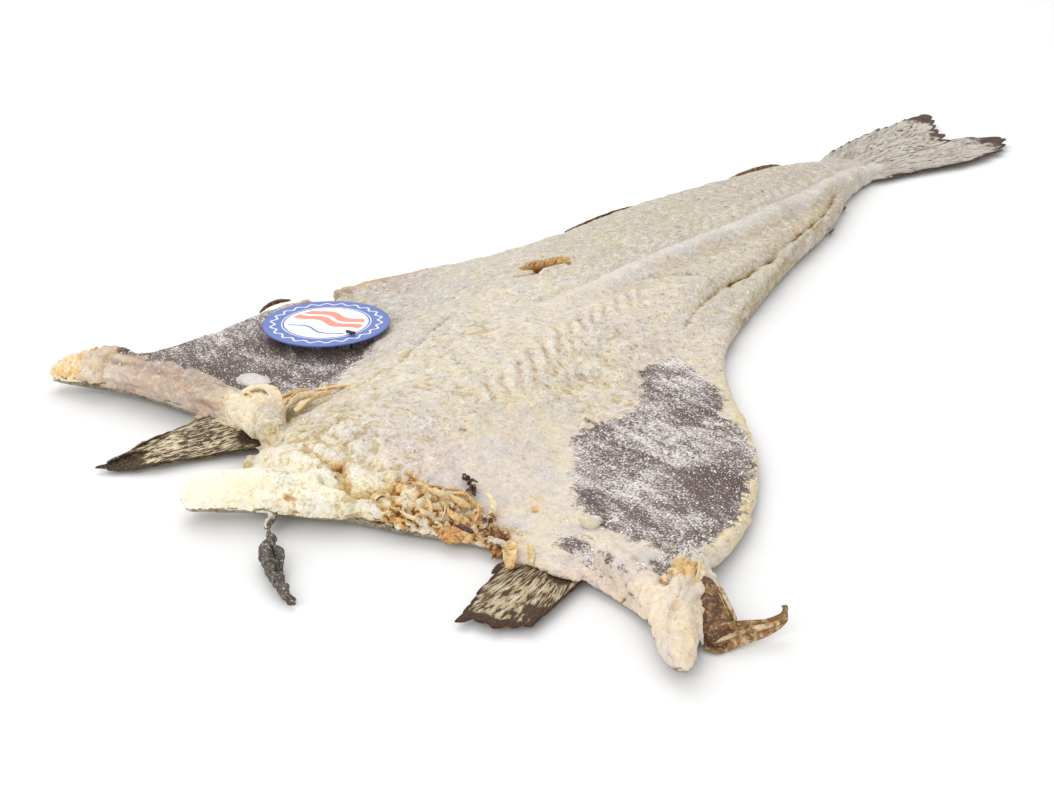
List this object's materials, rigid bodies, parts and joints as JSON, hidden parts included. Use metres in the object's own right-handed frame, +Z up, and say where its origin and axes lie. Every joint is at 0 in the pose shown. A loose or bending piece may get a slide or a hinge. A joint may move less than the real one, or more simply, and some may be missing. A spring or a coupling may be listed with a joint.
{
  "type": "salted dried cod",
  "caption": "Split salted dried cod opened flat, flesh side up, with belly flaps, collar lugs, fins, tail and a plain round card label pinned to a flap.",
  "frame": {"origin": "middle of the bounding box's floor, on the surface that the fish lies on", "axes": "+Y from the nape to the tail, +X to the fish's right side seen from above, +Z up"},
  "size_m": [0.3662, 0.7896, 0.0267],
  "materials": {
    "flesh": "dry, fibrous and salt-dusted, cream to grey-violet",
    "card": "satin printed card",
    "pin_plastic": "satin black"
  },
  "bodies": {
    "root": {"cod": "flesh", "label": "card", "label_pin": "pin_plastic"}
  },
  "joints": []
}
